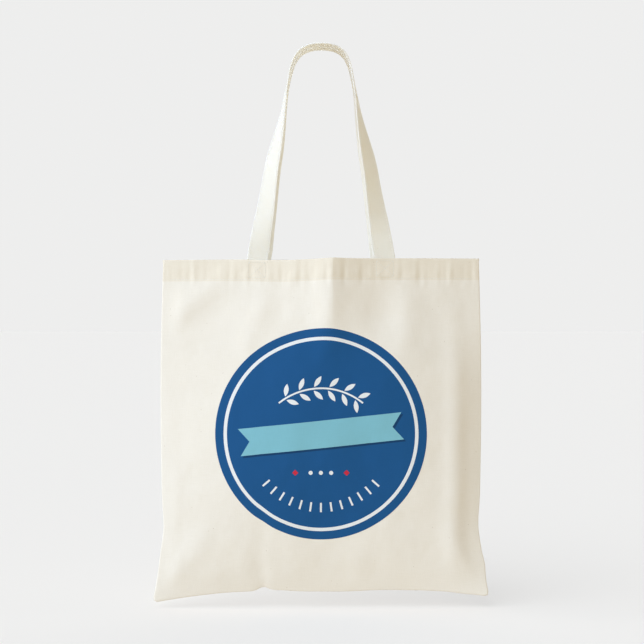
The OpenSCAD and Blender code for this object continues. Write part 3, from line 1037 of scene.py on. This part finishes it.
def make_print():
    disc = np.concatenate([[0.4], np.linspace(3, BADGE_R - 1.5, 47), [BADGE_R - 0.5, BADGE_R]])
    ring = np.linspace(RING_INNER, RING_OUTER, 4)
    for half, first in (("right", -90), ("left", 90)):
        ink_piece(f"badge_disc_{half}", [film(polar(disc, first, first + 180, 181), "base")],
                  "ink_blue", "print_disc", half)
        ink_piece(f"badge_ring_{half}", [film(polar(ring, first, first + 180, 181), "middle")],
                  "ink_white", "print_ring", half)
        ink_piece(f"ribbon_shadow_{half}", [film(ribbon(half, (2.2, -2.2)), "middle")],
                  "ink_navy", "print_ribbon_shadow", half)
        ink_piece(f"ribbon_{half}", [film(ribbon(half, (0, 0)), "top")], "ink_aqua", "print_ribbon", half)
    make_sprig()
    ink_piece("diamonds", [film(placed(rectangle(5, 5, 5, 5), (x, -45), 45), "middle") for x in (-30, 30)],
              "ink_red", "print_diamonds")
    ink_piece("dots", [film(placed(round_patch(2.4), (x, -45), 0), "middle") for x in (-12, 0, 12)],
              "ink_white", "print_dots")
    ticks = []
    for a in range(222, 319, 8):
        at = (86 * math.cos(math.radians(a)), 86 * math.sin(math.radians(a)))
        ticks.append(film(placed(rectangle(11, 2.2, 8, 3), at, a), "middle"))
    ink_piece("ticks", ticks, "ink_white", "print_ticks")


def make_sprig():
    """A bowed stem with six pairs of leaves."""
    def on_arc(r, a):
        return r * math.sin(math.radians(a)), r * math.cos(math.radians(a)) - 24

    stem = [[on_arc(r, a) for a in np.linspace(-39, 39, 90)] for r in (79, 78, 77)]
    parts = [film(stem, "middle")]
    for k in range(6):
        a = -32 + 12.8 * k
        for sign in (-1, 1):
            parts.append(film(placed(leaf(15, 5.5), on_arc(78 + 8 * sign, a + 4), sign * 50 - a), "middle"))
    ink_piece("sprig", parts, "ink_white", "print_sprig")


# ---- stage, light and camera ----


# Light is given as the irradiance over pi that a facing surface gets.
FROM_ABOVE = (0.34, 0.275, 0.165)
FROM_BELOW = (0.86, 0.79, 0.65)
KEY = (0.82, 1.035, 1.40)
KEY_FROM = (-0.70, -0.55, 0.46)
REAR = (0.30, 0.39, 0.53)
REAR_FROM = (0.25, 0.93, 0.28)
BACKDROP = (0.855, 0.855, 0.85)
FLOOR_SHADE = 0.62  # how light the floor is where the key doesn't reach it
FLOOR_Z = -0.6625


def make_stage():
    """A pale floor just under the bag. Lit, it matches the backdrop, and its shade is neutral."""
    bpy.ops.mesh.primitive_plane_add(size=80, location=(0, 20, FLOOR_Z))
    floor = bpy.context.object
    floor.name = "floor"
    down = Vector(KEY_FROM).normalized().z
    colour = [0.93 * (w - FLOOR_SHADE) / (k * down) for w, k in zip(BACKDROP, KEY)]
    rear = Vector(REAR_FROM).normalized().z
    sky = [(5 * a + b) / 6 + r * rear for a, b, r in zip(FROM_ABOVE, FROM_BELOW, REAR)]
    m = material("floor", colour, 1.0, specular=0.0)
    shader = m.node_tree.nodes["Principled BSDF"]
    glow = [FLOOR_SHADE - c * a for c, a in zip(colour, sky)]
    shader.inputs["Emission Color"].default_value = (*glow, 1)
    shader.inputs["Emission Strength"].default_value = 1
    floor.data.materials.append(m)
    floor.visible_diffuse = False


def make_light():
    """Warm light from all round, most from below, with a cooler key from the left and a fill behind."""
    world = bpy.data.worlds.new("studio")
    bpy.context.scene.world = world
    world.use_nodes = True
    n = Nodes(world.node_tree)
    around = world.node_tree.nodes["Background"]
    place = n.new("ShaderNodeTexCoord")
    split = n.new("ShaderNodeSeparateXYZ")
    n.link(place.outputs["Generated"], split.inputs[0])
    height = n.math("MULTIPLY_ADD", split.outputs[2], 0.5, 0.5)
    n.link(n.mix(height, (*FROM_BELOW, 1), (*FROM_ABOVE, 1)), around.inputs[0])
    seen = n.new("ShaderNodeBackground")
    seen.inputs[0].default_value = (*BACKDROP, 1)
    which = n.new("ShaderNodeMixShader")
    ray = n.new("ShaderNodeLightPath")
    n.link(ray.outputs["Is Camera Ray"], which.inputs[0])
    n.link(around.outputs[0], which.inputs[1])
    n.link(seen.outputs[0], which.inputs[2])
    n.link(which.outputs[0], world.node_tree.nodes["World Output"].inputs[0])
    lamp("key", KEY, KEY_FROM)
    lamp("rear", REAR, REAR_FROM).use_shadow = False


def lamp(name, strength, towards):
    data = bpy.data.lights.new(name, "SUN")
    data.energy = math.pi * max(strength)
    data.angle = math.radians(90)
    data.color = [k / max(strength) for k in strength]
    obj = bpy.data.objects.new(name, data)
    obj.rotation_mode = "QUATERNION"
    obj.rotation_quaternion = Vector(towards).to_track_quat("Z", "Y")
    bpy.context.scene.collection.objects.link(obj)
    return data


def make_camera():
    data = bpy.data.cameras.new("camera")
    camera = bpy.data.objects.new("camera", data)
    distance, height, width = 2.0, -0.3248, 0.7612
    data.lens = data.sensor_width * distance / width
    camera.location = (0.0013, -distance, height)
    camera.rotation_euler = (math.pi / 2, 0, 0)
    bpy.context.scene.collection.objects.link(camera)
    bpy.context.scene.camera = camera
    bpy.context.scene.view_settings.view_transform = "Standard"


make_camera()
make_light()
make_stage()
panels = make_panels()
hems = make_hems()
make_hem_stitches()
make_box_stitches()
make_straps()
make_seams()
make_print()
